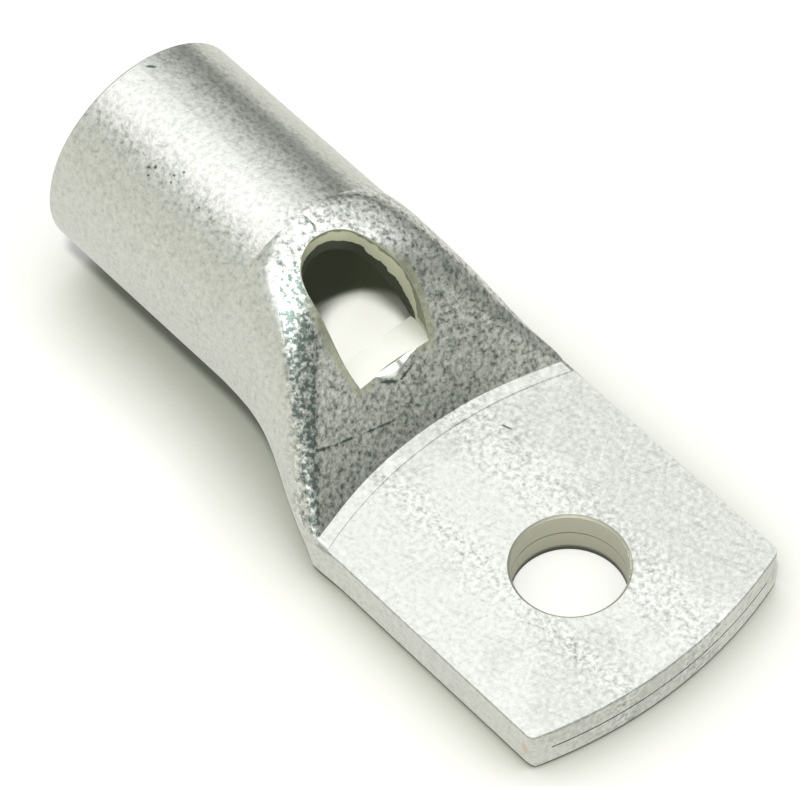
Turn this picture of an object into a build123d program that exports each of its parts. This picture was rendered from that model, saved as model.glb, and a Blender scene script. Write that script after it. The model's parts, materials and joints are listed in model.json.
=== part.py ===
from build123d import *
from math import asin, atan2, cos, hypot, radians, sin, sqrt, tan
import os

# Cable lug made of one length of copper tube, pressed flat at one end.
# X runs from the open barrel to the palm's tip, and Z is up.
# The origin is the centre of the stud hole, on the palm's underside.
# All sizes are in millimetres.

# Tube
tube_diameter = 22.0
wall = 2.5
barrel_length = 23.0
mouth_chamfer = 0.3

# Press die: a steep face whose nose is round in plan and whose crest is rounded
slope_angle = 60.0
crest_radius = 9.6
nose_radius = 43.0
die_mark = 0.12
die_mark_width = 1.4

# Palm, measured from the centre of the stud hole
palm_root = 19.4
palm_side = 11.0
palm_trim = 0.62
palm_crown = 2.4
palm_corner_radius = 0.8
palm_edge_break = 0.5
palm_top_break = 0.15
ear_length = 3.6
stud_hole_diameter = 10.5
stud_hole_break = 0.2

# Spread of the pressed tube
side_spread = 0.25
ridge_at_crest = 1.5
ridge_rounding_at_crest = 3.0
ridge_rounding_at_root = 0.5
ridge_rounding_limit = 0.7
keel_width = 0.6
hollow_end_height = 1.6

# Sight hole, milled from above through the crest and then drawn towards the palm
sight_start = 28.2
sight_start_side = 0.8
sight_start_diameter = 7.8
sight_end = 25.3
sight_end_diameter = 9.3
sight_floor = 11.5

# Seam between the two walls that the press has closed
seam_gap = 0.16
seam_depth = 0.35

# Sizes that follow from the ones above
tube_radius = tube_diameter / 2
bore_radius = tube_radius - wall
palm_top = 2 * wall
land_top = palm_top + die_mark
flat_reach = tube_radius + side_spread * (tube_diameter - land_top)
palm_half = flat_reach - palm_trim
ridge_at_root = palm_half
slope = radians(slope_angle)
crest_drop = crest_radius * (1 - cos(slope))
slope_run = (tube_diameter - crest_drop - land_top) / tan(slope)
press_length = slope_run + crest_radius * sin(slope)
nose_axis = nose_radius - palm_root
crest_x = -palm_root - press_length
mouth_x = crest_x - barrel_length
root_x = nose_axis - sqrt(nose_radius**2 - ridge_at_root**2)
tip_x = palm_side + palm_crown
clear = tube_diameter
tiny = 0.01


def slope_top(run):
    """Height of the pressed top, at a distance behind the palm's root."""
    if run <= slope_run:
        return land_top + run * tan(slope)
    rest = max(press_length - run, 0)
    return tube_diameter - crest_radius + sqrt(crest_radius**2 - rest**2)


def slope_ceiling(run):
    """Height of the hollow's ceiling, one wall inside the pressed top."""
    rest = max(press_length - run, 0)
    inner_radius = crest_radius - wall
    if rest >= inner_radius * sin(slope):
        return land_top + run * tan(slope) - wall / cos(slope)
    return tube_diameter - crest_radius + sqrt(inner_radius**2 - rest**2)


def ring(x, corners, curves):
    """A closed section across X, one edge from each corner to the next."""
    edges = []
    for i, curve in enumerate(curves):
        points = [corners[i], *curve, corners[(i + 1) % len(corners)]]
        places = [(x, y, z) for y, z in points]
        if len(curve) == 0:
            edges.append(Edge.make_line(*places))
        elif len(curve) == 1:
            edges.append(Edge.make_three_point_arc(*places))
        else:
            edges.append(Edge.make_bezier(*places))
    return Face(Wire(edges))


def mirrored(points):
    """The same points on the other side, in the order that closes the section."""
    return [(-y, z) for y, z in reversed(points)]


def on_circle(radius, width):
    """Height of the round tube's upper half, at a distance to the side."""
    return sqrt(radius**2 - width**2)


def round_section(x, radius, corners, keel):
    """The tube's round section, split where the pressed sections have corners."""
    widths = [(corner, 1) for corner in corners] + [(radius, 0), (keel, -1)]
    right = [(w, tube_radius + side * on_circle(radius, w)) for w, side in widths]
    ends = [*corners, radius]
    between = [((a + b) / 2, 1) for a, b in zip(ends, ends[1:])]
    between.append((radius * sin(radians(45)), -1))
    middles = [[(w, tube_radius + side * on_circle(radius, w))] for w, side in between]
    top = [(0, tube_radius + radius)]
    bottom = [(0, tube_radius - radius)]
    left = [mirrored(middle) for middle in reversed(middles)]
    return ring(x, right + mirrored(right), middles + [bottom] + left + [top])


def quarter(start, end, corner):
    """Control points of a quarter of an ellipse that turns inside its corner."""
    share = 0.5523
    return [
        (
            point[0] + (corner[0] - point[0]) * share,
            point[1] + (corner[1] - point[1]) * share,
        )
        for point in (start, end)
    ]


def round_turn(start, end):
    """The middle of a round quarter from an upright side down to the flat bottom."""
    radius = start[0] - end[0]
    share = sin(radians(45))
    return [(end[0] + radius * share, start[1] - radius * share)]


def middle_of(start, curve, end):
    """The middle of a curve with two control points, for an arc in its place."""
    points = zip(start, *curve, end)
    return [tuple((a + 3 * b + 3 * c + d) / 8 for a, b, c, d in points)]


def pressed_section(x, middle, ridge, rounding, rise, reach, level, foot, floor):
    """A pressed section: hollow crown, rounded ridges, round sides, flat bottom.

    ridge is the sharp corner between crown and side, before it is rounded.
    """
    across = reach - ridge[0]
    up = ridge[1] - level
    side_radius = (across**2 + up**2) / (2 * across)
    lean = asin(max(side_radius - across, 0) / side_radius)
    rounding = min(rounding, across / 2)
    crown = (ridge[0] - rounding * cos(rise), ridge[1] - rounding * sin(rise))
    shoulder = (ridge[0] + rounding * cos(lean), ridge[1] - rounding * sin(lean))
    drop = (reach - ridge[0]) * tan(lean)
    right = [crown, shoulder, (reach, level), (foot, floor)]
    curves = [
        quarter(right[0], right[1], ridge),
        quarter(right[1], right[2], (reach, ridge[1] - drop)),
        quarter(right[2], right[3], (reach, floor)),
    ]
    if abs(rise) < tiny:
        curves[0] = middle_of(right[0], curves[0], right[1])
    if abs(reach - foot - level + floor) < tiny:
        curves[2] = round_turn(right[2], right[3])
    left = [mirrored(curve) for curve in reversed(curves)]
    top = [(0, middle)] if crown[1] - middle > tiny else []
    return ring(x, right + mirrored(right), curves + [[]] + left + [top])


def share_along(x):
    """How far a place lies along the press, from 0 at its crest to 1 at the root."""
    return (x - crest_x) / (root_x - crest_x)


def ridge_width(x):
    """Half width between the two ridges that bound the pressed face."""
    return ridge_at_crest + (ridge_at_root - ridge_at_crest) * share_along(x)


def ridge_rounding(x):
    """Rounding of a ridge, large at the crest and almost sharp at the root."""
    gone = ridge_rounding_at_crest - ridge_rounding_at_root
    limit = ridge_rounding_limit * ridge_width(x)
    return min(ridge_rounding_at_crest - gone * share_along(x), limit)


def die_height(x, y):
    """Height of the die's face: steep along X and round in plan."""
    return slope_top(hypot(nose_axis - x, y) - nose_radius)


def side_reach(x):
    """Half width of the tube: its sides give way by a share of the lost height."""
    return tube_radius + side_spread * (tube_diameter - die_height(x, ridge_width(x)))


def foot_width(x):
    """Half width of the flat underside, where the sides stay about half round."""
    return max(side_reach(x) - die_height(x, ridge_width(x)) / 2, keel_width)


def outer_section(x):
    """The tube's outside where the die has pressed it."""
    width = ridge_width(x)
    rounding = ridge_rounding(x)
    edge = die_height(x, width)
    inside = max(die_height(x, width - rounding), land_top)
    rise = atan2(edge - inside, rounding)
    middle = max(die_height(x, 0), wall)
    return pressed_section(
        x, middle, (width, edge), rounding, rise, side_reach(x), edge / 2, foot_width(x), 0
    )


def inner_section(x):
    """The hollow's outline there, one wall inside the outside and rounder."""
    ceiling = slope_ceiling(-palm_root - x)
    reach = side_reach(x) - wall
    scale = reach / side_reach(x)
    crown = ((ridge_width(x) - ridge_rounding(x)) * scale, ceiling)
    side = (reach, (wall + ceiling) / 2)
    foot = (foot_width(x) * scale, wall)
    right = [crown, side, foot]
    curves = [quarter(crown, side, (reach, ceiling)), quarter(side, foot, (reach, wall))]
    left = [mirrored(curve) for curve in reversed(curves)]
    return ring(x, right + mirrored(right), curves + [[]] + left + [[]])


def stations(start, end, count):
    """Places along X, evenly spaced and without the start."""
    return [start + (end - start) * (i + 1) / count for i in range(count)]


def make_transition():
    """The pressed stretch, from the round tube to the flat palm."""
    rounding = ridge_rounding(crest_x)
    corners = [ridge_at_crest - rounding, ridge_at_crest + rounding]
    first = round_section(crest_x, tube_radius, corners, keel_width)
    rest = [outer_section(x) for x in stations(crest_x, root_x, 6)]
    return loft([first] + rest)


def make_hollow():
    """The bore, and the hollow beyond it that narrows until its walls meet."""
    scale = bore_radius / tube_radius
    crown = (ridge_at_crest - ridge_rounding(crest_x)) * scale
    end_top = wall + hollow_end_height
    end_run = (end_top + wall / cos(slope) - land_top) / tan(slope)
    end_x = -palm_root - end_run
    first = round_section(crest_x, bore_radius, [crown], keel_width * scale)
    rest = [inner_section(x) for x in stations(crest_x, end_x, 6)]
    bore = extrude(
        Plane(origin=(mouth_x, 0, tube_radius), z_dir=(1, 0, 0)) * Circle(bore_radius),
        crest_x - mouth_x,
    )
    return bore + loft([first] + rest)


def palm_outline():
    """The palm's plan: two ears at the root, straight sides and a bowed end."""
    half = palm_half
    root_half = flat_reach
    waist = root_x + ear_length
    with BuildSketch() as plan:
        with BuildLine():
            Line((root_x, -root_half), (root_x, root_half))
            ear_arc((root_x, root_half), (waist, half))
            Line((waist, half), (palm_side, half))
            ThreePointArc((palm_side, half), (tip_x, 0), (palm_side, -half))
            Line((palm_side, -half), (waist, -half))
            ear_arc((root_x, -root_half), (waist, -half))
        make_face()
        corners = plan.vertices().filter_by(lambda v: abs(v.X - palm_side) < tiny)
        fillet(corners, palm_corner_radius)
    return plan.sketch


def ear_arc(start, end):
    """Hollow curve that runs from an ear into the straight side."""
    middle = ((start[0] + end[0]) / 2, end[1])
    Bezier(start, middle, end)


def make_palm():
    """The flat end: the closed tube, trimmed to its outline."""
    blank = extrude(palm_section(), tip_x - root_x + clear, dir=(1, 0, 0))
    trim = extrude(palm_outline(), land_top)
    rim = trim.edges().filter_by(lambda e: e.center().X > root_x + tiny)
    trim = chamfer(rim.group_by(Axis.Z)[0], palm_edge_break)
    rim = trim.edges().filter_by(lambda e: e.center().X > root_x + tiny)
    trim = chamfer(rim.group_by(Axis.Z)[-1], palm_top_break)
    return blank & trim


def palm_section():
    """The closed tube's section, with its two folds at the sides."""
    width = ridge_width(root_x)
    return pressed_section(
        root_x,
        land_top,
        (width, land_top),
        ridge_rounding(root_x),
        0,
        side_reach(root_x),
        land_top / 2,
        foot_width(root_x),
        0,
    )


def make_root():
    """The palm's root, which fills the press's last stretch up to the slope."""
    back_x = -palm_root - wall / tan(slope) / 2
    back_half = ridge_width(back_x) - ridge_rounding(back_x)
    front_half = ridge_width(root_x) - ridge_rounding(root_x)
    front_x = root_x + die_mark_width
    plan = Polyline(
        (back_x, -back_half),
        (root_x, -front_half),
        (front_x, -front_half),
        (front_x, front_half),
        (root_x, front_half),
        (back_x, back_half),
        close=True,
    )
    return Pos(0, 0, wall - seam_gap) * extrude(make_face(plan), land_top - wall + seam_gap)


def make_die_mark():
    """The round nose of the die leaves the palm a little lower than its root."""
    return Pos(nose_axis, 0, palm_top) * Cylinder(
        nose_radius - die_mark_width, clear, align=(Align.CENTER, Align.CENTER, Align.MIN)
    )


def make_stud_hole():
    """The punched hole, whose rim the punch has drawn in a little from above."""
    radius = stud_hole_diameter / 2
    rim = Cone(radius, radius + stud_hole_break, stud_hole_break)
    return Cylinder(radius, clear) + Pos(0, 0, palm_top - stud_hole_break / 2) * rim


def make_seam():
    """The seam between the pressed walls, where the hole and the end show it."""
    outline = palm_outline()
    rim = outline - offset(outline, -seam_depth)
    fold = flat_reach - wall
    end = rim & Pos(tip_x, 0) * Rectangle(2 * tip_x, 2 * fold)
    radius = stud_hole_diameter / 2 + seam_depth
    groove = extrude(end + Circle(radius), seam_gap)
    return Pos(0, 0, wall - seam_gap / 2) * groove


def make_blank():
    """The pressed and trimmed tube, still solid and without its holes."""
    barrel = extrude(
        Plane(origin=(mouth_x, 0, tube_radius), z_dir=(1, 0, 0)) * Circle(tube_radius),
        crest_x - mouth_x,
    )
    return barrel + make_transition() + make_palm() + make_root()


def make_sight_hole():
    """The hole milled from above, whose floor leaves a ledge in the slope's wall."""
    start = Pos(-sight_start, -sight_start_side) * Circle(sight_start_diameter / 2)
    end = Pos(-sight_end, 0) * Circle(sight_end_diameter / 2)
    outline = make_hull(start.edges() + end.edges())
    return extrude(Pos(0, 0, sight_floor) * outline, clear, dir=(0, 0, 1))


def make_lug():
    """The whole lug, with its holes, its seam and the mouth's broken edges."""
    lug = make_blank() - make_die_mark() - make_hollow() - make_sight_hole()
    lug = lug - make_stud_hole() - make_seam()
    mouth = lug.edges().filter_by(lambda e: abs(e.center().X - mouth_x) < tiny)
    return chamfer(mouth, mouth_chamfer)


lug = make_lug()

os.makedirs("parts", exist_ok=True)
export_step(lug, "parts/lug_body.step")
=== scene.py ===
import json
from math import cos, hypot, radians, sin, sqrt

import bmesh
import bpy
from mathutils import Matrix, Vector

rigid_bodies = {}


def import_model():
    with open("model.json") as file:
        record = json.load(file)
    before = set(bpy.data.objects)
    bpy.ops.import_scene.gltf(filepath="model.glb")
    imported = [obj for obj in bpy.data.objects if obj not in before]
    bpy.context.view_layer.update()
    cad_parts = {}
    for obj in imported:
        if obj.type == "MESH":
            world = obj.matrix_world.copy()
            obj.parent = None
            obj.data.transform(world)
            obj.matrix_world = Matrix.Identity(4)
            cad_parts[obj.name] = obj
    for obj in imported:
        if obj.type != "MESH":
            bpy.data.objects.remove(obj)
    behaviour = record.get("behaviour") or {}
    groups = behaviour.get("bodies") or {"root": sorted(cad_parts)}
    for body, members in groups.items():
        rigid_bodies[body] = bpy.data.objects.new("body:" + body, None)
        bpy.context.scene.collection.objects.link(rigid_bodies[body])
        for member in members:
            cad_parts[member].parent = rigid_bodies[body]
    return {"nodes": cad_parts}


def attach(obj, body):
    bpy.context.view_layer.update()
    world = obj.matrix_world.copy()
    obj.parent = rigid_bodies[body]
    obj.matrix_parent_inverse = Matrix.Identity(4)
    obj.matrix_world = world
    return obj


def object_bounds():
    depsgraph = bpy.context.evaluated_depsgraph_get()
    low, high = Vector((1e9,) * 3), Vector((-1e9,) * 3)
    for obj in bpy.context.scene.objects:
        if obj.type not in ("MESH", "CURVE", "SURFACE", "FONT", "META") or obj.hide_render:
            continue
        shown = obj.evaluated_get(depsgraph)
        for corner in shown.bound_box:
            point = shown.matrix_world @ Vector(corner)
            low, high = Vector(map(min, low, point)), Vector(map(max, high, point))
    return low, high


# A tube cable lug: one length of copper tube, pressed flat at one end and tin plated.
# The frame is the part's own: X runs from the barrel's mouth to the palm's tip, Z is up,
# and the origin is the centre of the stud hole on the palm's underside. Metres throughout.

for leftover in list(bpy.data.objects):
    bpy.data.objects.remove(leftover)

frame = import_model()
cad_low, cad_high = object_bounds()
lug = frame["nodes"]["lug_body"]

MM = 0.001

# Sizes of the lug, which its finishes are placed by
tube_radius = 11.0 * MM
wall = 2.5 * MM
palm_top = 5.0 * MM
stud_hole_radius = 5.25 * MM

# The pressed slope, which climbs from its foot and is round in plan
slope_foot_x = -19.4 * MM
slope_foot_height = 5.12 * MM
slope_rise = 1.732
nose_radius = 43.0 * MM
nose_axis_x = nose_radius + slope_foot_x

# The crest over the slope, and the ridges that spread from it to the palm's corners
crest_x = -34.7 * MM
crest_radius = 9.6 * MM
ridge_crest_width = 1.5 * MM
ridge_spread = 0.734

# The sight hole: its ledge's height, and the centre and radius of each end. Its outline is
# followed by discs in a row, which swell a little toward the middle. The last value is
# farther from the hole than any point of the lug.
sight_floor = 11.5 * MM
sight_start = (-28.2 * MM, -0.8 * MM, 3.9 * MM)
sight_end = (-25.3 * MM, 0.0, 4.65 * MM)
sight_discs = 5
sight_swell = 0.03
far_away = 1.0

# The burr on the ledge's front edge: its section's corners from its seat in millimetres at
# full size, its places across the ledge with its size there, and its rounding
burr_x = -23.1 * MM
burr_crown = (0.135, 0, -0.055)
burr_toe = (0.12, 0, -0.24)
burr_stations = [
    (-2.0, 1.0), (-1.6, 2.4), (-1.0, 4.2), (-0.3, 5.2), (0.5, 4.8),
    (1.2, 3.0), (1.8, 1.6), (2.6, 1.1), (3.3, 0.5),
]
burr_rounding = 0.03 * MM

# Dark lines and spots: creases, scratches, pits and the lines beside the burr, whose darkness is
# painted shade except in the scratches. For each, the face that it is on, its start and end seen
# from above, and its half width, in millimetres
marks_and_shade_lines = [
    ("slope", (-21.1, -10.9), (-21.0, -8.7), 0.22),
    ("slope", (-21.0, -9.0), (-20.9, -5.9), 0.18),
    ("slope", (-20.9, -6.3), (-20.6, -1.7), 0.17),
    ("slope", (-22.7, -2.1), (-22.1, 0.1), 0.2),
    ("slope", (-22.1, -0.4), (-22.5, 2.1), 0.2),
    ("ledge", (-23.2, -1.8), (-23.15, 2.2), 0.09),
    ("palm", (-15.4, 5.7), (-14.15, 6.15), 0.14),
    ("barrel", (-56.85, 0.35), (-55.95, 1.25), 0.22),
    ("barrel", (-48.9, -6.05), (-48.7, -5.85), 0.16),
    ("barrel", (-48.4, -5.7), (-48.1, -5.5), 0.18),
    ("barrel", (-48.45, -6.5), (-48.2, -6.3), 0.15),
    ("barrel", (-46.4, -5.2), (-46.1, -5.0), 0.18),
    ("barrel", (-46.15, -5.75), (-45.95, -5.55), 0.14),
    ("barrel", (-45.9, -4.5), (-45.55, -4.3), 0.18),
    ("barrel", (-42.3, -5.75), (-42.1, -5.6), 0.13),
]

# How far past a face its finish still counts as on it
tube_margin = 0.4 * MM
cut_margin = 0.05 * MM
ledge_margin = 0.06 * MM
punch_margin = 0.24 * MM
palm_margin = 0.2 * MM

# The tube's inside is painted shade from past the mouth, and a pool of light is painted on an
# oval of its floor, where the light through the sight hole falls
inner_shade_start_x = -48.0 * MM
inner_shade_full_x = -40.0 * MM
lit_centre = (-29.8 * MM, 1.5 * MM, 4.0 * MM)
lit_size = (7.9 * MM, 6.1 * MM, 100.0 * MM)

# Sizes in millimetres of the patterns in the tin: the grain of the plating is finer than
# this on the real lug, and is drawn as coarse as it needs to be to show
grain_size = 0.6
speckle_size = 0.5
scratch_size = 0.3
ragged_size = 0.9
patch_size = 9.0
grain_depth_low = 0.012 * MM
grain_depth_high = 0.03 * MM

# How far the cut wall's bands and the bare spot's edge wander
ragged_reach = 0.9 * MM

# What each change adds to the tone of the tin, where 0 is its darkest and 1 its palest: the
# ridge's band and the line under the palm's top edge are painted shade, and the marks partly so
pressed_tone = -0.05
ridge_shade_tone = -0.32
mark_and_shade_tone = -0.5
dull_tone = -0.08
edge_shade_tone = -0.2
rim_tone = -0.3

# Fine scratches in three directions: the angle of each from X in degrees, and its tone
scratch_layers = [(25, -0.06), (-55, 0.05), (75, -0.05)]

# Where the dies' speckle begins on the barrel, and where it ends down the flank, measured
# from the near ridge. Here and below a pair gives the two places that a finish fades between.
pressed_x = (-38.0 * MM, -33.0 * MM)
pressed_flank = (-2.6 * MM, -1.2 * MM)

# The dark band of painted shade along the near ridge: where it begins, and its X and half
# width at its widest and at its foot
band_x = (-33.5 * MM, -30.0 * MM)
band_widest = (-31.0 * MM, 2.8 * MM)
band_foot = (-17.5 * MM, 0.5 * MM)

# The colours down the sight hole's wall, the first and last of them painted shade at its rim and
# foot: their depth from first to last, and the places between which they spread out to twice that
wall_depth = (0.3 * MM, 2.3 * MM)
wall_spread_x = (-31.0 * MM, -26.5 * MM)

# The rubbed rim of the sight hole: its width, and where it begins from the middle line, down
# the slope and over the ledge
rubbed_width = (0.5 * MM, 0.9 * MM)
rubbed_aside = (1.5 * MM, 3.0 * MM)
rubbed_x = (-29.0 * MM, -27.0 * MM)
rubbed_height = (sight_floor - 1.2 * MM, sight_floor)

# The dark line of painted shade under the palm's top edge, along its sheared sides: where it
# begins, how far under the top face the line's upper and lower edges lie, and how much deeper the lower one
# wanders
edge_shade_start_x = -16.5 * MM
edge_shade_gap = 0.03 * MM
edge_shade_drop = 0.05 * MM
edge_shade_wander = 0.5 * MM

# The mouth's worn rim, and the spot of bare copper at the palm's tip
rim_width = 0.27 * MM
bare_spot = (10.2 * MM, -14.6 * MM, 2.7 * MM)
bare_size = (0.7 * MM, 1.1 * MM)

# How much more the dull patches lie toward the palm's far side, for each metre of Y
dull_lean = 9.0

# The photograph's frame and the camera that took it
image_width = 800
image_height = 786
focal_pixels = 5330.4
sensor_width = 36.0
camera_azimuth = 49.68
camera_elevation = 53.42
camera_roll = -1.44
target_distance = 463.42 * MM
target_pixel_x = 570.01
target_pixel_y = 565.58

# The table: its size, its gap under the lug, how far the contact shadow reaches from the lug,
# and the even share of light that the metal sees on it, where 1 is unshaded
table_size = 3.0
table_gap = 0.02 * MM
shadow_reach = 11.0 * MM
mean_shade = 0.8

# Through the stud hole the table is lit out to the first radius, and shaded past the second
stud_lit_radius = 5.0 * MM
stud_shaded_radius = 7.5 * MM

# The key lamp: its strength, its apparent width in degrees and the way to it
lamp_strength = 3.0
lamp_width = 6.0
lamp_direction = (0.245, -0.295, 0.923)


def linear(code):
    """An sRGB hex colour as linear red, green, blue and alpha."""
    channels = [int(code[i : i + 2], 16) / 255 for i in (1, 3, 5)]
    return [c / 12.92 if c <= 0.04045 else ((c + 0.055) / 1.055) ** 2.4 for c in channels] + [1.0]


def grey(level):
    """A linear grey of that radiance."""
    return [level, level, level, 1.0]


def add(tree, kind, inputs=(), **settings):
    """One node, with its settings, and its inputs as values, nodes or nodes' outputs."""
    node = tree.nodes.new(kind)
    for name, value in settings.items():
        setattr(node, name, value)
    for key, value in dict(inputs).items():
        if isinstance(value, bpy.types.Node):
            value = value.outputs[0]
        if isinstance(value, bpy.types.NodeSocket):
            tree.links.new(value, node.inputs[key])
        else:
            node.inputs[key].default_value = value
    return node


def per_mm(size):
    """Scale of a pattern whose features are that many millimetres across."""
    return 1 / (size * MM)


def set_ramp(node, stops):
    """Gives a colour ramp its stops, as places and colours."""
    ramp = node.color_ramp
    while len(ramp.elements) < len(stops):
        ramp.elements.new(0.5)
    for element, (place, colour) in zip(ramp.elements, stops):
        element.position = place
        element.color = colour


def new_material(name):
    """An empty node material and its tree."""
    material = bpy.data.materials.new(name)
    material.use_nodes = True
    material.node_tree.nodes.clear()
    return material, material.node_tree


def plan_distance(tree, place, centre_x=0.0, centre_y=0.0):
    """How far a point lies from a centre, seen from above."""
    offset = add(tree, "ShaderNodeVectorMath", {0: place, 1: (centre_x, centre_y, 0)}, operation="SUBTRACT")
    flat = add(tree, "ShaderNodeVectorMath", {0: offset, 1: (1, 1, 0)}, operation="MULTIPLY")
    return add(tree, "ShaderNodeVectorMath", {0: flat}, operation="LENGTH").outputs["Value"]


def make_camera():
    """The camera that the photograph was taken with, aimed by the stud hole's place in it."""
    azimuth = radians(camera_azimuth)
    elevation = radians(camera_elevation)
    roll = radians(camera_roll)
    back = Vector((sin(azimuth) * cos(elevation), -cos(azimuth) * cos(elevation), sin(elevation)))
    level_right = (-back).cross(Vector((0, 0, 1))).normalized()
    level_up = level_right.cross(-back)
    right = cos(roll) * level_right + sin(roll) * level_up
    up = -sin(roll) * level_right + cos(roll) * level_up
    across = (target_pixel_x - image_width / 2) * target_distance / focal_pixels
    above = -(target_pixel_y - image_height / 2) * target_distance / focal_pixels
    target = Vector((0, 0, palm_top))
    place = target + target_distance * back - across * right - above * up
    data = bpy.data.cameras.new("camera")
    data.sensor_width = sensor_width
    data.lens = focal_pixels * sensor_width / image_width
    data.clip_start = 0.01
    data.clip_end = 10.0
    camera = bpy.data.objects.new("camera", data)
    turn = Matrix((right, up, back)).transposed().to_4x4()
    camera.matrix_world = Matrix.Translation(place) @ turn
    bpy.context.scene.collection.objects.link(camera)
    bpy.context.scene.camera = camera


def make_studio():
    """A soft studio: white overhead, a pale near side and a dark far side."""
    world = bpy.data.worlds.new("studio")
    bpy.context.scene.world = world
    world.use_nodes = True
    tree = world.node_tree
    tree.nodes.clear()
    direction = add(tree, "ShaderNodeTexCoord").outputs["Generated"]
    parts = add(tree, "ShaderNodeSeparateXYZ", {"Vector": direction})
    far = add(tree, "ShaderNodeValToRGB", {"Fac": parts.outputs["Z"]})
    set_ramp(far, [
        (0.0, (0.20, 0.23, 0.20, 1)),
        (0.19, (0.23, 0.25, 0.22, 1)),
        (0.37, (0.43, 0.45, 0.42, 1)),
        (0.53, (0.67, 0.69, 0.66, 1)),
        (0.67, (0.90, 0.92, 0.89, 1)),
        (0.77, (1.33, 1.35, 1.32, 1)),
        (0.83, (1.38, 1.40, 1.37, 1)),
        (0.87, (1.80, 1.81, 1.78, 1)),
        (1.0, (1.9, 1.9, 1.88, 1)),
    ])
    near = add(tree, "ShaderNodeValToRGB", {"Fac": parts.outputs["Z"]})
    set_ramp(near, [
        (0.0, (0.90, 0.90, 0.80, 1)),
        (0.45, (0.85, 0.86, 0.77, 1)),
        (0.64, (0.66, 0.68, 0.63, 1)),
        (0.74, (0.80, 0.81, 0.77, 1)),
        (0.86, (1.8, 1.8, 1.77, 1)),
        (1.0, (1.9, 1.9, 1.88, 1)),
    ])
    side = add(tree, "ShaderNodeMapRange", {
        "Value": parts.outputs["Y"], "From Min": -0.25, "From Max": 0.2, "To Min": 1.0, "To Max": 0.0,
    }, interpolation_type="SMOOTHSTEP")
    mix = add(tree, "ShaderNodeMix", {0: side, 6: far, 7: near}, data_type="RGBA")
    surroundings = add(tree, "ShaderNodeBackground", {"Color": mix.outputs[2], "Strength": 1.0})
    white = add(tree, "ShaderNodeBackground", {"Color": grey(1.0), "Strength": 1.0})
    path = add(tree, "ShaderNodeLightPath").outputs
    shown = add(tree, "ShaderNodeMixShader", {0: path["Is Camera Ray"], 1: surroundings, 2: white})
    add(tree, "ShaderNodeOutputWorld", {"Surface": shown})


def make_key_lamp():
    """One lamp over the near side, for the palm's even light and the shadow's soft edge."""
    lamp = bpy.data.lights.new("key_lamp", "SUN")
    lamp.energy = lamp_strength
    lamp.angle = radians(lamp_width)
    key = bpy.data.objects.new("key_lamp", lamp)
    key.rotation_euler = Vector(lamp_direction).to_track_quat("Z", "Y").to_euler()
    bpy.context.scene.collection.objects.link(key)


def make_table_paint():
    """Matt white paint: even and pale with no gloss, and a soft shadow close to the lug."""
    paint, tree = new_material("matt_white_table")
    path = add(tree, "ShaderNodeLightPath").outputs
    place = add(tree, "ShaderNodeTexCoord").outputs["Object"]
    under_stud = add(tree, "ShaderNodeMapRange", {
        "Value": plan_distance(tree, place),
        "From Min": stud_lit_radius, "From Max": stud_shaded_radius, "To Min": 1.0, "To Max": 0.0,
    })
    close = add(tree, "ShaderNodeAmbientOcclusion", {"Distance": shadow_reach}, samples=16)
    clear = add(tree, "ShaderNodeMath", {0: close.outputs["AO"], 1: under_stud}, operation="MAXIMUM")

    # The camera sees the contact shadow, and every other ray the mean shade
    above_mean = add(tree, "ShaderNodeMath", {0: clear, 1: mean_shade}, operation="SUBTRACT")
    even = add(tree, "ShaderNodeMath", {
        0: above_mean, 1: path["Is Camera Ray"], 2: mean_shade,
    }, operation="MULTIPLY_ADD")
    tint = add(tree, "ShaderNodeValToRGB", {"Fac": even})
    set_ramp(tint, [
        (0.0, linear("#505248")),
        (0.35, linear("#868980")),
        (0.75, linear("#A6A69C")),
        (1.0, linear("#B3B3AA")),
    ])
    matt = add(tree, "ShaderNodeBsdfDiffuse", {"Color": tint})

    # Where nothing shades the table it is lifted to plain white, in the metal too
    glow = add(tree, "ShaderNodeValToRGB", {"Fac": even})
    set_ramp(glow, [(0.0, grey(0.0)), (0.45, grey(0.0)), (0.9, linear("#81818E"))])
    lift = add(tree, "ShaderNodeEmission", {"Color": glow, "Strength": 1.0})
    none = add(tree, "ShaderNodeEmission", {"Strength": 0.0})
    seen = path["Is Camera Ray"]
    for ray in ("Is Glossy Ray", "Is Transmission Ray"):
        seen = add(tree, "ShaderNodeMath", {0: seen, 1: path[ray]}, operation="MAXIMUM")
    extra = add(tree, "ShaderNodeMixShader", {0: seen, 1: none, 2: lift})
    both = add(tree, "ShaderNodeAddShader", {0: matt, 1: extra})
    add(tree, "ShaderNodeOutputMaterial", {"Surface": both})
    return paint


def make_table():
    """The flat table that the lug lies on."""
    mesh = bmesh.new()
    height = Matrix.Translation((0, 0, cad_low.z - table_gap))
    bmesh.ops.create_grid(mesh, x_segments=1, y_segments=1, size=table_size / 2, matrix=height)
    data = bpy.data.meshes.new("floor")
    mesh.to_mesh(data)
    mesh.free()
    data.materials.append(make_table_paint())
    floor = bpy.data.objects.new("floor", data)
    bpy.context.scene.collection.objects.link(floor)


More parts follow.
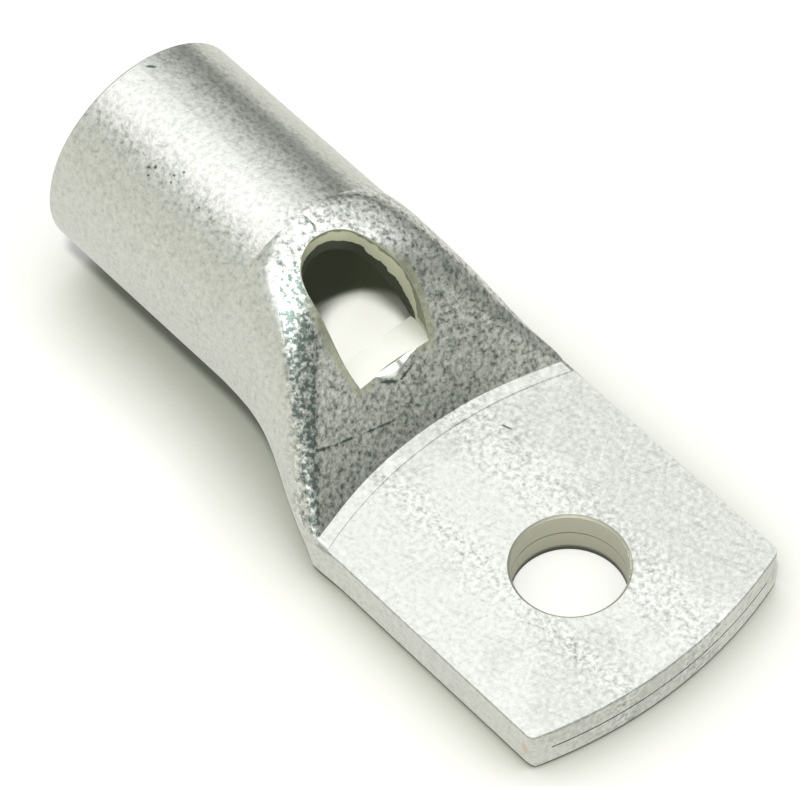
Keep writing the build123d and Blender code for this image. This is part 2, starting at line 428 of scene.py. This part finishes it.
def make_burr():
    """The lip that the cutter turned up along the front of the sight hole's ledge."""
    mesh = bmesh.new()
    seat = Vector((burr_x, burr_stations[0][0] * MM, sight_floor))
    corners = [seat, seat + Vector(burr_crown) * MM, seat + Vector(burr_toe) * MM]
    face = mesh.faces.new([mesh.verts.new(corner) for corner in corners])
    size = burr_stations[0][1]
    for place_y, wanted in burr_stations[1:]:
        grown = bmesh.ops.extrude_face_region(mesh, geom=[face])["geom"]
        points = [part for part in grown if isinstance(part, bmesh.types.BMVert)]
        face = [part for part in grown if isinstance(part, bmesh.types.BMFace)][0]
        share = wanted / size
        about = Matrix.Translation(-seat)
        bmesh.ops.scale(mesh, verts=points, vec=(share, 1, share), space=about)
        onward = Vector((0, place_y * MM - seat.y, 0))
        bmesh.ops.translate(mesh, verts=points, vec=onward)
        seat = seat + onward
        size = wanted
    bmesh.ops.recalc_face_normals(mesh, faces=mesh.faces)
    bmesh.ops.bevel(
        mesh, geom=mesh.edges[:], affect="EDGES", offset=burr_rounding, segments=2, profile=0.5, material=-1,
    )
    data = bpy.data.meshes.new("sight_hole_burr")
    mesh.to_mesh(data)
    mesh.free()
    data.shade_smooth()
    burr = bpy.data.objects.new("sight_hole_burr", data)
    bpy.context.scene.collection.objects.link(burr)
    return burr


def height_over_slope(tree, place, z):
    """How far over the pressed slope's face a point lies, along Z."""
    from_nose_axis = plan_distance(tree, place, nose_axis_x)
    drop = add(tree, "ShaderNodeMath", {
        0: from_nose_axis, 1: -slope_rise, 2: nose_radius * slope_rise - slope_foot_height,
    }, operation="MULTIPLY_ADD")
    return add(tree, "ShaderNodeMath", {0: drop, 1: z}, operation="ADD")


def gap_to_sight_hole(tree, place):
    """How far outside the sight hole's outline a point lies, seen from above."""
    outside = far_away
    for step in range(sight_discs):
        share = step / (sight_discs - 1)
        centre_x, centre_y, radius = [a + (b - a) * share for a, b in zip(sight_start, sight_end)]
        swell = 1 + 4 * sight_swell * share * (1 - share)
        from_centre = plan_distance(tree, place, centre_x, centre_y)
        gap = add(tree, "ShaderNodeMath", {0: from_centre, 1: radius * swell}, operation="SUBTRACT")
        outside = add(tree, "ShaderNodeMath", {0: outside, 1: gap}, operation="MINIMUM")
    return outside


def find_inside(tree, place, over_slope):
    """1 on the walls of the bore and of the hollow behind the slope, and 0 by the mouth."""
    x, y, z = add(tree, "ShaderNodeSeparateXYZ", {0: place}).outputs
    offset = add(tree, "ShaderNodeVectorMath", {0: place, 1: (0, 0, tube_radius)}, operation="SUBTRACT")
    across = add(tree, "ShaderNodeVectorMath", {0: offset, 1: (0, 1, 1)}, operation="MULTIPLY")
    from_axis = add(tree, "ShaderNodeVectorMath", {0: across}, operation="LENGTH").outputs["Value"]
    in_tube = add(tree, "ShaderNodeMath", {0: from_axis, 1: tube_radius - tube_margin}, operation="LESS_THAN")
    under_slope = add(tree, "ShaderNodeMath", {0: over_slope, 1: -wall}, operation="LESS_THAN")
    under_ledge = add(tree, "ShaderNodeMath", {0: z, 1: sight_floor - cut_margin}, operation="LESS_THAN")
    in_hollow = add(tree, "ShaderNodeMath", {0: under_slope, 1: under_ledge}, operation="MULTIPLY")
    in_bore = add(tree, "ShaderNodeMath", {0: x, 1: crest_x}, operation="LESS_THAN")
    past_wall = add(tree, "ShaderNodeMath", {0: in_hollow, 1: in_bore}, operation="MAXIMUM")
    inside = add(tree, "ShaderNodeMath", {0: in_tube, 1: past_wall}, operation="MULTIPLY")
    from_mouth = add(tree, "ShaderNodeMapRange", {
        "Value": x, "From Min": inner_shade_start_x, "From Max": inner_shade_full_x,
    }, interpolation_type="SMOOTHSTEP")
    return add(tree, "ShaderNodeMath", {0: inside, 1: from_mouth}, operation="MULTIPLY")


def find_ridge(tree, x, y):
    """1 along the near ridge, where a band of painted shade lies, and 1 on the slope's side of it."""
    past_crest = add(tree, "ShaderNodeMath", {0: x, 1: crest_x}, operation="SUBTRACT")
    ridge_y = add(tree, "ShaderNodeMath", {
        0: past_crest, 1: ridge_spread, 2: ridge_crest_width,
    }, operation="MULTIPLY_ADD")
    past_ridge = add(tree, "ShaderNodeMath", {0: y, 1: ridge_y}, operation="ADD")
    from_ridge = add(tree, "ShaderNodeMath", {0: past_ridge}, operation="ABSOLUTE")
    width = add(tree, "ShaderNodeMapRange", {
        "Value": x, "From Min": band_widest[0], "From Max": band_foot[0],
        "To Min": band_widest[1], "To Max": band_foot[1],
    })
    in_widths = add(tree, "ShaderNodeMath", {0: from_ridge, 1: width}, operation="DIVIDE")
    near_ridge = add(tree, "ShaderNodeMapRange", {
        "Value": in_widths, "From Min": 0.6, "From Max": 1.2, "To Min": 1.0, "To Max": 0.0,
    }, interpolation_type="SMOOTHSTEP")
    past_start = add(tree, "ShaderNodeMapRange", {
        "Value": x, "From Min": band_x[0], "From Max": band_x[1],
    }, interpolation_type="SMOOTHSTEP")
    ridge = add(tree, "ShaderNodeMath", {0: near_ridge, 1: past_start}, operation="MULTIPLY")
    slope_side = add(tree, "ShaderNodeMapRange", {
        "Value": past_ridge, "From Min": pressed_flank[0], "From Max": pressed_flank[1],
    }, interpolation_type="SMOOTHSTEP")
    return ridge, slope_side


def find_pressed(tree, x, over_palm, slope_side):
    """1 where the dies have pressed the tube, over the palm."""
    pressed = add(tree, "ShaderNodeMapRange", {
        "Value": x, "From Min": pressed_x[0], "From Max": pressed_x[1],
    }, interpolation_type="SMOOTHSTEP")
    for share in (over_palm, slope_side):
        pressed = add(tree, "ShaderNodeMath", {0: pressed, 1: share}, operation="MULTIPLY")
    return pressed


def seat_on(face, x, y):
    """The point of one of the lug's faces over a place in plan."""
    if face == "barrel":
        height = tube_radius + sqrt(tube_radius**2 - y**2)
    elif face == "slope":
        height = slope_foot_height + slope_rise * (hypot(x - nose_axis_x, y) - nose_radius)
    elif face == "ledge":
        height = sight_floor
    else:
        height = palm_top
    return Vector((x, y, height))


def find_marks_and_shade(tree, place):
    """1 in the dark lines and spots, slim ellipsoids laid along their faces: painted shade in the creases,
    the pits and beside the burr, and dark scratches.
    """
    marked_and_shaded = 0.0
    for face, start, end, half_width in marks_and_shade_lines:
        start = seat_on(face, start[0] * MM, start[1] * MM)
        end = seat_on(face, end[0] * MM, end[1] * MM)
        along = end - start
        laid = add(tree, "ShaderNodeMapping", {
            "Vector": place,
            "Location": (start + end) / 2,
            "Rotation": along.to_track_quat("X", "Z").to_euler(),
            "Scale": (along.length / 2, half_width * MM, half_width * MM),
        }, vector_type="TEXTURE")
        reach = add(tree, "ShaderNodeVectorMath", {0: laid}, operation="LENGTH").outputs["Value"]
        mark = add(tree, "ShaderNodeMapRange", {
            "Value": reach, "From Min": 0.5, "From Max": 1.0, "To Min": 1.0, "To Max": 0.0,
        })
        marked_and_shaded = add(tree, "ShaderNodeMath", {0: marked_and_shaded, 1: mark}, operation="MAXIMUM")
    return marked_and_shaded


def find_dull(tree, place, y, over_palm):
    """1 in dull patches on the palm, most of them toward its far side."""
    patch = add(tree, "ShaderNodeTexNoise", {"Vector": place, "Scale": per_mm(patch_size), "Detail": 3.0})
    aside = add(tree, "ShaderNodeMath", {
        0: y, 1: dull_lean, 2: patch.outputs["Fac"],
    }, operation="MULTIPLY_ADD")
    dull = add(tree, "ShaderNodeMapRange", {
        "Value": aside, "From Min": 0.44, "From Max": 0.60, "To Min": 0.0, "To Max": 1.0,
    }, interpolation_type="SMOOTHSTEP")
    return add(tree, "ShaderNodeMath", {0: dull, 1: over_palm}, operation="SUBTRACT", use_clamp=True)


def find_edge_shade_line(tree, x, z, ragged):
    """1 on the ragged line of painted shade under the palm's top edge, along its sheared sides."""
    low_edge = add(tree, "ShaderNodeMath", {
        0: ragged, 1: -edge_shade_wander, 2: palm_top - edge_shade_drop,
    }, operation="MULTIPLY_ADD")
    line = add(tree, "ShaderNodeMath", {0: z, 1: low_edge}, operation="GREATER_THAN")
    under_top = add(tree, "ShaderNodeMath", {0: z, 1: palm_top - edge_shade_gap}, operation="LESS_THAN")
    on_palm = add(tree, "ShaderNodeMath", {0: x, 1: edge_shade_start_x}, operation="GREATER_THAN")
    for share in (under_top, on_palm):
        line = add(tree, "ShaderNodeMath", {0: line, 1: share}, operation="MULTIPLY")
    return line


def make_speckle(tree, place, y, pressed):
    """The tone of the bare plating: light and dark flecks, strongest where it is pressed."""
    across = add(tree, "ShaderNodeMapRange", {"Value": y, "From Min": -tube_radius, "From Max": tube_radius})

    # How flecked the barrel is from its near side to its far side, with its clean streak between
    bands = add(tree, "ShaderNodeValToRGB", {"Fac": across})
    set_ramp(bands, [
        (0.05, grey(0.1)),
        (0.18, grey(0.25)),
        (0.25, grey(0.7)),
        (0.32, grey(0.2)),
        (0.50, grey(0.1)),
        (0.62, grey(0.55)),
        (0.74, grey(0.5)),
        (0.85, grey(0.15)),
    ])
    flecked = add(tree, "ShaderNodeMath", {0: pressed, 1: bands}, operation="MAXIMUM")
    speckle = add(tree, "ShaderNodeTexNoise", {
        "Vector": place, "Scale": per_mm(speckle_size), "Detail": 3.0, "Roughness": 0.65,
    })
    fleck = add(tree, "ShaderNodeMath", {0: speckle.outputs["Fac"], 1: 0.5}, operation="SUBTRACT")
    strength = add(tree, "ShaderNodeMapRange", {"Value": flecked, "To Min": 0.3, "To Max": 2.2})
    return add(tree, "ShaderNodeMath", {0: fleck, 1: strength, 2: 0.5}, operation="MULTIPLY_ADD")


def add_scratches(tree, place, tone):
    """The tone with fine scratches laid over it."""
    for angle, change in scratch_layers:
        laid = add(tree, "ShaderNodeMapping", {
            "Vector": place, "Rotation": (0, 0, radians(angle)), "Scale": (10, 1, 1),
        }, vector_type="TEXTURE")
        streaks = add(tree, "ShaderNodeTexNoise", {
            "Vector": laid, "Scale": per_mm(scratch_size), "Detail": 0.0,
        })
        scratch = add(tree, "ShaderNodeMapRange", {
            "Value": streaks.outputs["Fac"],
            "From Min": 0.68, "From Max": 0.76, "To Min": 0.0, "To Max": change,
        })
        tone = add(tree, "ShaderNodeMath", {0: tone, 1: scratch}, operation="ADD")
    return tone


def find_rubbed(tree, x, y, z, outside):
    """How far the tin is rubbed along the lower rim of the sight hole."""
    rubbed = add(tree, "ShaderNodeMapRange", {
        "Value": outside, "From Min": rubbed_width[0], "From Max": rubbed_width[1],
        "To Min": 0.7, "To Max": 0.0,
    })
    aside = add(tree, "ShaderNodeMath", {0: y}, operation="ABSOLUTE")
    for value, (start, end) in ((aside, rubbed_aside), (x, rubbed_x), (z, rubbed_height)):
        share = add(tree, "ShaderNodeMapRange", {"Value": value, "From Min": start, "From Max": end})
        rubbed = add(tree, "ShaderNodeMath", {0: rubbed, 1: share}, operation="MULTIPLY")
    return rubbed


def colour_tin(tree, place, tone, rubbed, ragged):
    """The tin's colour: its tone, a warmer rubbed rim and a spot worn through to the copper."""
    colour = add(tree, "ShaderNodeValToRGB", {"Fac": tone})
    set_ramp(colour, [(0.0, linear("#5F6B66")), (0.5, linear("#CFD0CC")), (1.0, linear("#F6F8F6"))])
    colour = add(tree, "ShaderNodeMix", {0: rubbed, 6: colour, 7: linear("#C6C6AC")}, data_type="RGBA")
    from_spot = add(tree, "ShaderNodeVectorMath", {0: place, 1: bare_spot}, operation="DISTANCE")
    spot_edge = add(tree, "ShaderNodeMath", {
        0: ragged, 1: ragged_reach, 2: from_spot.outputs["Value"],
    }, operation="MULTIPLY_ADD")
    bare = add(tree, "ShaderNodeMapRange", {
        "Value": spot_edge, "From Min": bare_size[0], "From Max": bare_size[1],
        "To Min": 0.6, "To Max": 0.0,
    })
    colour = add(tree, "ShaderNodeMix", {
        0: bare, 6: colour.outputs[2], 7: linear("#D9A58C"),
    }, data_type="RGBA")
    return colour.outputs[2]


def paint_tube_shade_and_light(tree, place):
    """Painted shade inside the tube, dark and matt, with a pale matt pool of light painted on its floor."""
    offset = add(tree, "ShaderNodeVectorMath", {0: place, 1: lit_centre}, operation="SUBTRACT")
    in_oval = add(tree, "ShaderNodeVectorMath", {0: offset, 1: lit_size}, operation="DIVIDE")
    reach = add(tree, "ShaderNodeVectorMath", {0: in_oval}, operation="LENGTH").outputs["Value"]
    unlit = add(tree, "ShaderNodeMapRange", {
        "Value": reach, "From Min": 0.96, "From Max": 1.05, "To Min": 0.0, "To Max": 1.0,
    }, interpolation_type="SMOOTHSTEP")
    # The pale colour is the painted pool of light, and the dark one painted shade
    pale = add(tree, "ShaderNodeBsdfPrincipled", {
        "Base Color": linear("#E8E8E0"), "Metallic": 0.0, "Roughness": 0.7, "Specular IOR Level": 0.2,
    })
    dark = add(tree, "ShaderNodeBsdfPrincipled", {
        "Base Color": linear("#747A67"), "Metallic": 0.0, "Roughness": 0.8, "Specular IOR Level": 0.2,
    })
    return add(tree, "ShaderNodeMixShader", {0: unlit, 1: pale, 2: dark})


def saw_wall(tree, x, z, over_slope, ragged, bump):
    """The sight hole's cut wall: painted shade at its rim, pale below it, and a ragged band of painted shade
    at its foot.
    """
    past_crest = add(tree, "ShaderNodeMath", {0: x, 1: crest_x}, operation="SUBTRACT")
    square = add(tree, "ShaderNodeMath", {0: past_crest, 1: past_crest}, operation="MULTIPLY")
    left_over = add(tree, "ShaderNodeMath", {0: crest_radius**2, 1: square}, operation="SUBTRACT")
    arc = add(tree, "ShaderNodeMath", {0: left_over}, operation="SQRT")
    crest_top = add(tree, "ShaderNodeMath", {0: arc, 1: 2 * tube_radius - crest_radius}, operation="ADD")
    slope_top = add(tree, "ShaderNodeMath", {0: z, 1: over_slope}, operation="SUBTRACT")
    top = add(tree, "ShaderNodeMath", {0: crest_top, 1: slope_top}, operation="MINIMUM")
    depth = add(tree, "ShaderNodeMath", {0: top, 1: z}, operation="SUBTRACT")
    squeeze = add(tree, "ShaderNodeMapRange", {
        "Value": x, "From Min": wall_spread_x[0], "From Max": wall_spread_x[1], "To Min": 1.0, "To Max": 0.5,
    })
    depth = add(tree, "ShaderNodeMath", {0: depth, 1: squeeze}, operation="MULTIPLY")
    depth = add(tree, "ShaderNodeMath", {0: ragged, 1: ragged_reach, 2: depth}, operation="MULTIPLY_ADD")
    down_wall = add(tree, "ShaderNodeMapRange", {
        "Value": depth, "From Min": wall_depth[0], "From Max": wall_depth[1],
    })
    colour = add(tree, "ShaderNodeValToRGB", {"Fac": down_wall})
    # The first and last colours are painted shade, at the wall's rim and at its foot
    set_ramp(colour, [
        (0.0, linear("#7C806C")),
        (0.13, linear("#7C806C")),
        (0.20, linear("#BFC0A8")),
        (0.80, linear("#B4B69E")),
        (0.84, linear("#3A3E32")),
    ])
    return add(tree, "ShaderNodeBsdfPrincipled", {
        "Base Color": colour, "Metallic": 0.3, "Roughness": 0.5, "Normal": bump,
    })


def file_ledge(tree, y, marked_and_shaded, bump):
    """The sight hole's ledge, filed flat: a matt pale grey, darker toward its far end."""
    toward_far = add(tree, "ShaderNodeMapRange", {"Value": y, "From Min": 0.5 * MM, "From Max": 4.8 * MM})
    colour = add(tree, "ShaderNodeValToRGB", {"Fac": toward_far})
    set_ramp(colour, [(0.0, linear("#C2C3BC")), (0.5, linear("#BABCB4")), (1.0, linear("#8C8E82"))])
    # The ledge's mark is a line of painted shade beside the burr
    colour = add(tree, "ShaderNodeMix", {0: marked_and_shaded, 6: colour, 7: linear("#5A5F50")}, data_type="RGBA")
    return add(tree, "ShaderNodeBsdfPrincipled", {
        "Base Color": colour.outputs[2], "Metallic": 0.0, "Roughness": 0.7, "Specular IOR Level": 0.2,
        "Normal": bump,
    })


def punch_wall(tree, z, bump):
    """The stud hole's punched wall: a worn, yellowish tin that is dark at its foot."""
    up_wall = add(tree, "ShaderNodeMapRange", {"Value": z, "From Min": 0.0, "From Max": palm_top})
    colour = add(tree, "ShaderNodeValToRGB", {"Fac": up_wall})
    set_ramp(colour, [
        (0.0, linear("#4A4C40")),
        (0.08, linear("#4A4C40")),
        (0.16, linear("#A8A898")),
        (0.5, linear("#B2B2A2")),
        (0.94, linear("#BCBCAC")),
        (1.0, linear("#8E8E80")),
    ])
    return add(tree, "ShaderNodeBsdfPrincipled", {
        "Base Color": colour, "Metallic": 0.7, "Roughness": 0.5, "Normal": bump,
    })


def raise_grain(tree, place, over_palm):
    """The relief of the plating's fine grain, fainter on the palm."""
    grain = add(tree, "ShaderNodeTexNoise", {
        "Vector": place, "Scale": per_mm(grain_size), "Detail": 3.0, "Roughness": 0.6,
    })
    relief = add(tree, "ShaderNodeMapRange", {
        "Value": over_palm, "To Min": grain_depth_low, "To Max": grain_depth_high,
    })
    bump = add(tree, "ShaderNodeBump", {
        "Height": grain.outputs["Fac"], "Strength": 1.0, "Distance": relief,
    })
    return bump.outputs["Normal"]


def shade_plating(tree, place, over_palm, outside, marked_and_shaded, ragged, bump):
    """The bare plating: a satin metal, toned by its speckle, by wear and by painted shade."""
    x, y, z = add(tree, "ShaderNodeSeparateXYZ", {0: place}).outputs
    ridge, slope_side = find_ridge(tree, x, y)
    ridge = add(tree, "ShaderNodeMath", {0: ridge, 1: over_palm}, operation="MULTIPLY")
    pressed = find_pressed(tree, x, over_palm, slope_side)
    rim = add(tree, "ShaderNodeMath", {0: x, 1: cad_low.x + rim_width}, operation="LESS_THAN")
    wear_and_shade = [
        (pressed, pressed_tone),
        (ridge, ridge_shade_tone),
        (marked_and_shaded, mark_and_shade_tone),
        (find_dull(tree, place, y, over_palm), dull_tone),
        (find_edge_shade_line(tree, x, z, ragged), edge_shade_tone),
        (rim, rim_tone),
    ]
    tone = make_speckle(tree, place, y, pressed)
    for where, change in wear_and_shade:
        tone = add(tree, "ShaderNodeMath", {0: where, 1: change, 2: tone}, operation="MULTIPLY_ADD")
    tone = add_scratches(tree, place, tone)
    rubbed = find_rubbed(tree, x, y, z, outside)
    polish = add(tree, "ShaderNodeMapRange", {"Value": ridge, "To Min": 0.3, "To Max": 0.5})
    return add(tree, "ShaderNodeBsdfPrincipled", {
        "Base Color": colour_tin(tree, place, tone, rubbed, ragged),
        "Metallic": 1.0, "Roughness": polish, "Normal": bump,
    })


def find_cuts(tree, place, z, outside):
    """1 on the sight hole's wall, on its ledge and on the stud hole's wall."""
    in_hole = add(tree, "ShaderNodeMath", {0: outside, 1: cut_margin}, operation="LESS_THAN")
    over_ledge = add(tree, "ShaderNodeMath", {0: z, 1: sight_floor + ledge_margin}, operation="GREATER_THAN")
    sawn = add(tree, "ShaderNodeMath", {0: in_hole, 1: over_ledge}, operation="MULTIPLY")
    at_ledge = add(tree, "ShaderNodeMath", {0: z, 1: sight_floor, 2: ledge_margin}, operation="COMPARE")
    filed = add(tree, "ShaderNodeMath", {0: in_hole, 1: at_ledge}, operation="MULTIPLY")
    punched = add(tree, "ShaderNodeMath", {
        0: plan_distance(tree, place), 1: stud_hole_radius + punch_margin,
    }, operation="LESS_THAN")
    return sawn, filed, punched


def make_tin():
    """Tin plated on copper and then pressed: a satin silver metal with a fine grain, flecked
    where the dies pressed it, and duller where the tube was cut, filed and punched, with painted
    shade inside the tube and a painted pool of light on the tube's floor."""
    tin, tree = new_material("satin_tin_plating")
    place = add(tree, "ShaderNodeTexCoord").outputs["Object"]
    x, y, z = add(tree, "ShaderNodeSeparateXYZ", {0: place}).outputs
    ragged = add(tree, "ShaderNodeTexNoise", {
        "Vector": place, "Scale": per_mm(ragged_size), "Detail": 2.0,
    }).outputs["Fac"]
    over_palm = add(tree, "ShaderNodeMath", {0: z, 1: palm_top + palm_margin}, operation="GREATER_THAN")
    over_slope = height_over_slope(tree, place, z)
    outside = gap_to_sight_hole(tree, place)
    marked_and_shaded = find_marks_and_shade(tree, place)
    bump = raise_grain(tree, place, over_palm)
    sawn, filed, punched = find_cuts(tree, place, z, outside)

    # Each finish lies over the ones before it; the first is painted shade and light inside the tube
    finishes_and_painted_light = [
        (find_inside(tree, place, over_slope), paint_tube_shade_and_light(tree, place)),
        (sawn, saw_wall(tree, x, z, over_slope, ragged, bump)),
        (filed, file_ledge(tree, y, marked_and_shaded, bump)),
        (punched, punch_wall(tree, z, bump)),
    ]
    surface = shade_plating(tree, place, over_palm, outside, marked_and_shaded, ragged, bump)
    for where, covering in finishes_and_painted_light:
        surface = add(tree, "ShaderNodeMixShader", {0: where, 1: surface, 2: covering})
    add(tree, "ShaderNodeOutputMaterial", {"Surface": surface})
    return tin


def make_turned_tin():
    """Tin smeared over a freshly turned edge: brighter and smoother than the tin round it."""
    tin, tree = new_material("bright_tin_edge")
    surface = add(tree, "ShaderNodeBsdfPrincipled", {
        "Base Color": linear("#E2E3DE"), "Metallic": 1.0, "Roughness": 0.35,
    })
    add(tree, "ShaderNodeOutputMaterial", {"Surface": surface})
    return tin


make_camera()
make_studio()
make_key_lamp()
make_table()
lug.material_slots[0].material = make_tin()
burr = make_burr()
burr.data.materials.append(make_turned_tin())
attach(burr, "root")

scene = bpy.context.scene
scene.view_settings.view_transform = "Standard"
